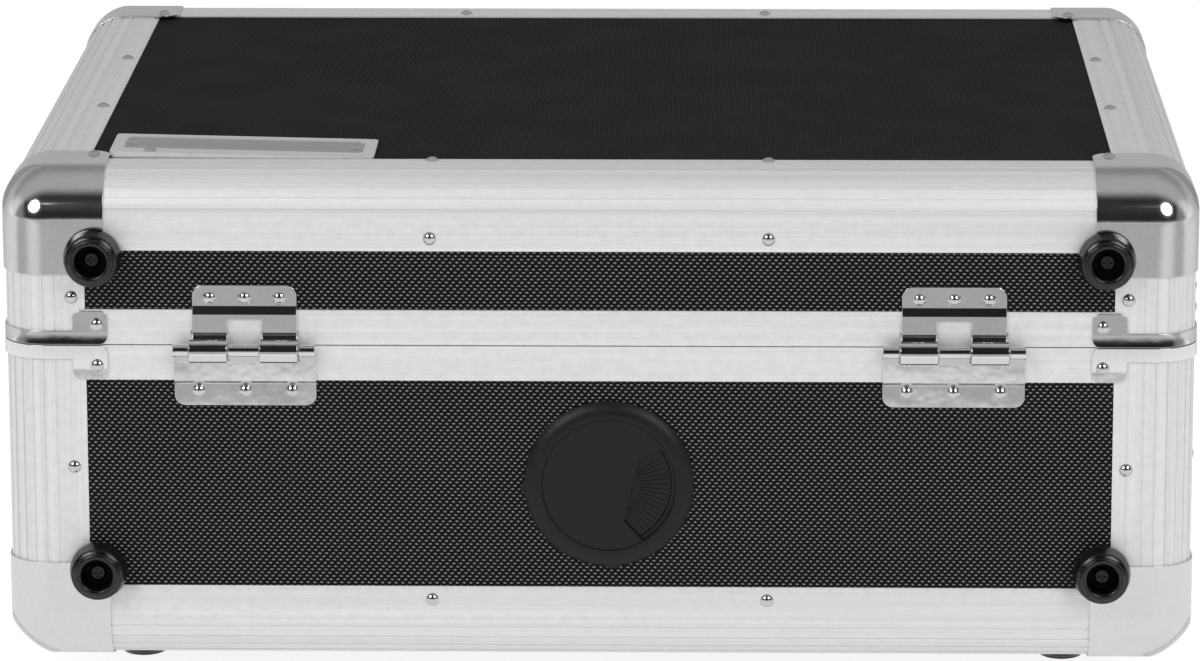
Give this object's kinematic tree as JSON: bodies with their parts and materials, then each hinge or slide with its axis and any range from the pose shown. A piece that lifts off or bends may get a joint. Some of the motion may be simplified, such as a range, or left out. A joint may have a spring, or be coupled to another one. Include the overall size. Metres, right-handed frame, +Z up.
{
  "type": "turntable flight case",
  "caption": "Hard case for a turntable: foam-lined base and hinged lid with rolled metal edges, ball corners, draw latches, rubber feet and a cable outlet at the back.",
  "frame": {"origin": "on the plane the four bottom feet stand on, under the middle of the whole case", "axes": "+Z up, +X along the case's width, -Y towards the hinges and the cable outlet, +Y towards the latches and the handle"},
  "size_m": [0.5098, 0.4324, 0.2263],
  "materials": {
    "black_laminate": "plywood with a black laminate of fine raised grains",
    "satin_aluminium": "satin anodised extrusion",
    "bright_chrome": "polished plate",
    "satin_chrome": "satin plate",
    "rivet_steel": "polished domed heads",
    "pin_steel": "zinc plated",
    "black_rubber": "moulded, slightly glossy",
    "outlet_plastic": "fine moulded grain",
    "grip_plastic": "moulded",
    "dark_foam": "open-cell foam",
    "plate_aluminium": "brushed, bare"
  },
  "bodies": {
    "base": {"base_floor_panel": "black_laminate", "base_rear_panel": "black_laminate", "base_front_panel": "black_laminate", "base_left_panel": "black_laminate", "base_right_panel": "black_laminate", "base_rear_rail": "satin_aluminium", "base_front_rail": "satin_aluminium", "base_left_rail": "satin_aluminium", "base_right_rail": "satin_aluminium", "base_posts": "satin_aluminium", "base_rim_profiles": "satin_aluminium", "base_ball_corners": "satin_chrome", "base_corner_straps": "bright_chrome", "base_rivets": "rivet_steel", "base_bottom_feet": "black_rubber", "base_rear_feet": "black_rubber", "base_foot_screws": "pin_steel", "base_floor_foam": "dark_foam", "base_wall_foam": "dark_foam", "cable_outlet_ring": "outlet_plastic", "cable_outlet_plate": "outlet_plastic", "left_hinge_base_leaf": "bright_chrome", "right_hinge_base_leaf": "bright_chrome", "hinge_pins": "pin_steel", "left_latch_plate": "bright_chrome", "right_latch_plate": "bright_chrome", "latch_stub_pins": "pin_steel", "handle_brackets": "bright_chrome", "handle_pins": "pin_steel"},
    "lid": {"lid_top_panel": "black_laminate", "lid_rear_panel": "black_laminate", "lid_front_panel": "black_laminate", "lid_left_panel": "black_laminate", "lid_right_panel": "black_laminate", "lid_rear_rail": "satin_aluminium", "lid_front_rail": "satin_aluminium", "lid_left_rail": "satin_aluminium", "lid_right_rail": "satin_aluminium", "lid_posts": "satin_aluminium", "lid_rim_profiles": "satin_aluminium", "lid_ball_corners": "bright_chrome", "lid_corner_straps": "bright_chrome", "lid_rivets": "rivet_steel", "lid_rear_feet": "black_rubber", "lid_foot_screws": "pin_steel", "lid_top_foam": "dark_foam", "badge_plate": "plate_aluminium", "left_hinge_lid_leaf": "bright_chrome", "right_hinge_lid_leaf": "bright_chrome", "left_latch_keeper": "bright_chrome", "right_latch_keeper": "bright_chrome"},
    "handle": {"handle_bail": "pin_steel", "handle_grip": "grip_plastic"},
    "left_lever": {"left_latch_lever": "bright_chrome", "left_claw_pin": "pin_steel"},
    "left_claw": {"left_latch_claw": "bright_chrome"},
    "right_lever": {"right_latch_lever": "bright_chrome", "right_claw_pin": "pin_steel"},
    "right_claw": {"right_latch_claw": "bright_chrome"},
    "shutter": {"cable_outlet_shutter": "outlet_plastic"}
  },
  "joints": [
    {"name": "lid_hinge", "type": "hinge", "parent": "base", "child": "lid", "pos_m": [0, -0.21022, 0.1476], "axis": [1, 0, 0], "range_deg": [0, 105]},
    {"name": "handle_swing", "type": "hinge", "parent": "base", "child": "handle", "pos_m": [0, 0.20877, 0.0887], "axis": [1, 0, 0], "range_deg": [0, 90]},
    {"name": "left_lever_turn", "type": "hinge", "parent": "base", "child": "left_lever", "pos_m": [-0.15, 0.20927, 0.1347], "axis": [1, 0, 0], "range_deg": [0, 110]},
    {"name": "right_lever_turn", "type": "hinge", "parent": "base", "child": "right_lever", "pos_m": [0.15, 0.20927, 0.1347], "axis": [1, 0, 0], "range_deg": [0, 110]},
    {"name": "left_claw_turn", "type": "hinge", "parent": "left_lever", "child": "left_claw", "pos_m": [-0.15, 0.20597, 0.1227], "axis": [1, 0, 0], "range_deg": [-143, 0]},
    {"name": "right_claw_turn", "type": "hinge", "parent": "right_lever", "child": "right_claw", "pos_m": [0.15, 0.20597, 0.1227], "axis": [1, 0, 0], "range_deg": [-143, 0]},
    {"name": "shutter_turn", "type": "hinge", "parent": "base", "child": "shutter", "pos_m": [0.0041, -0.20292, 0.0885], "axis": [0, -1, 0], "range_deg": [0, 170]}
  ],
  "couplings": [
    {"joint": "left_claw_turn", "follows": "left_lever_turn", "ratio": -1.3},
    {"joint": "right_claw_turn", "follows": "right_lever_turn", "ratio": -1.3}
  ]
}
